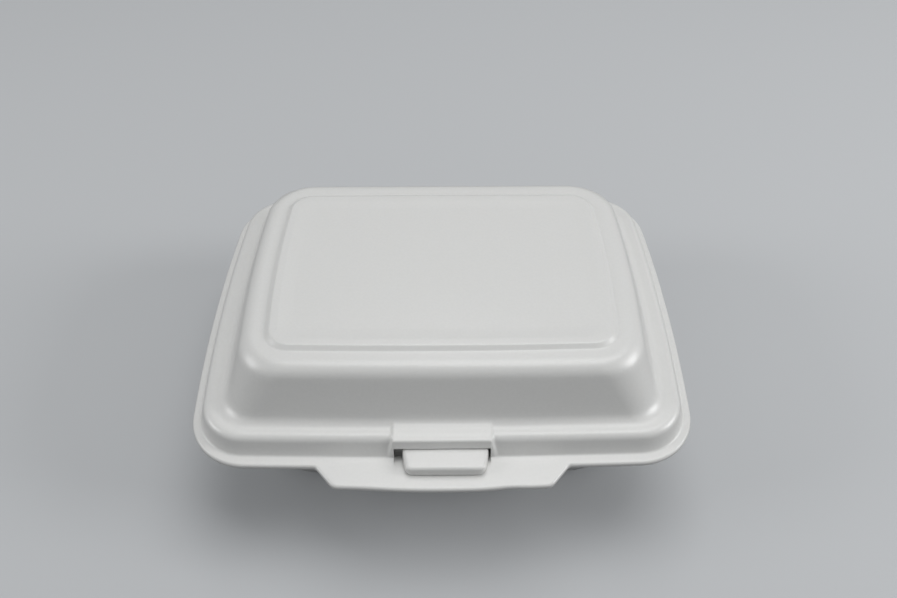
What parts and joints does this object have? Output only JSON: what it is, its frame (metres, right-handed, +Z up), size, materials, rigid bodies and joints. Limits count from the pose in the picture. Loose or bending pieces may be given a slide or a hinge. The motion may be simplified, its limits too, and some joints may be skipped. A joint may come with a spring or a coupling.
{
  "type": "foam clamshell food container",
  "caption": "Rectangular foam clamshell food container with hinged domed lid, front lift tab and tongue-and-slot latch.",
  "frame": {"origin": "on the table below the middle of the closed container's bounding box", "axes": "+X along the width, parallel to the hinge; front tab towards -Y, crease at the back towards +Y; +Z up out of the tub"},
  "size_m": [0.185, 0.151, 0.0739],
  "materials": {
    "foam": "matte"
  },
  "bodies": {
    "base": {"base": "foam", "hinge_web": "foam", "latch_tongue": "foam"},
    "lid": {"lid": "foam"}
  },
  "joints": [
    {"name": "lid_hinge", "type": "hinge", "parent": "base", "child": "lid", "pos_m": [0, 0.0743, 0.04265], "axis": [-1, 0, 0], "range_deg": [0, 180], "deforming": ["hinge_web", "latch_tongue"]}
  ]
}
